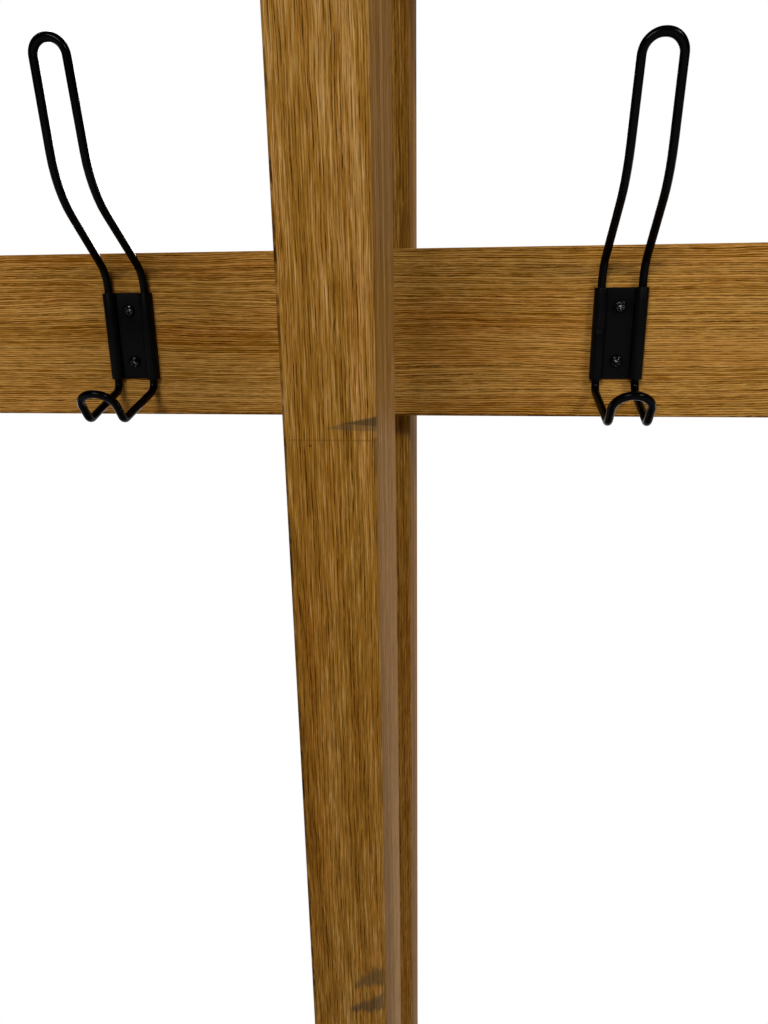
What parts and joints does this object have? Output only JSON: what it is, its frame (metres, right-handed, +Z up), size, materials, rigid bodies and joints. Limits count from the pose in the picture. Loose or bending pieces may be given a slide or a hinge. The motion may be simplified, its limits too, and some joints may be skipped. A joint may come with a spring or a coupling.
{
  "type": "hall tree",
  "caption": "Open oak hall tree: frames of paired posts joined by a hook rail, an upper rail, a slatted seat, a shoe shelf and a top shelf, with black wire coat hooks.",
  "frame": {"origin": "on the floor under the middle of the whole piece", "axes": "+X to the right along the rails, +Y from the front to the wall, +Z up"},
  "size_m": [1.2, 0.293, 1.878],
  "materials": {
    "oak": "oiled, satin",
    "powder_coated_steel": "black powder coat, satin",
    "screw_steel": "blackened, bright in the recess",
    "glide_plastic": "matte"
  },
  "bodies": {
    "root": {"bottom_rung_centre": "oak", "bottom_rung_left": "oak", "bottom_rung_right": "oak", "front_post_centre": "oak", "front_post_left": "oak", "front_post_right": "oak", "glides": "glide_plastic", "hook_clip_left_inner": "powder_coated_steel", "hook_clip_left_outer": "powder_coated_steel", "hook_clip_right_inner": "powder_coated_steel", "hook_clip_right_outer": "powder_coated_steel", "hook_rail": "oak", "hook_screws": "screw_steel", "hook_wire_left_inner": "powder_coated_steel", "hook_wire_left_outer": "powder_coated_steel", "hook_wire_right_inner": "powder_coated_steel", "hook_wire_right_outer": "powder_coated_steel", "rail_screws": "screw_steel", "rear_post_centre": "oak", "rear_post_left": "oak", "rear_post_right": "oak", "seat_apron_front_left": "oak", "seat_apron_front_right": "oak", "seat_apron_rear_left": "oak", "seat_apron_rear_right": "oak", "seat_batten_left_a": "oak", "seat_batten_left_b": "oak", "seat_batten_right_a": "oak", "seat_batten_right_b": "oak", "seat_board_left_1": "oak", "seat_board_left_2": "oak", "seat_board_left_3": "oak", "seat_board_right_1": "oak", "seat_board_right_2": "oak", "seat_board_right_3": "oak", "shelf_apron_front_left": "oak", "shelf_apron_front_right": "oak", "shelf_apron_rear_left": "oak", "shelf_apron_rear_right": "oak", "shelf_batten_left_a": "oak", "shelf_batten_left_b": "oak", "shelf_batten_right_a": "oak", "shelf_batten_right_b": "oak", "shelf_board_left_1": "oak", "shelf_board_left_2": "oak", "shelf_board_right_1": "oak", "shelf_board_right_2": "oak", "top_board_1": "oak", "top_board_2": "oak", "top_board_3": "oak", "top_rung_centre": "oak", "top_rung_left": "oak", "top_rung_right": "oak", "top_screws": "screw_steel", "upper_rail": "oak"}
  },
  "joints": []
}
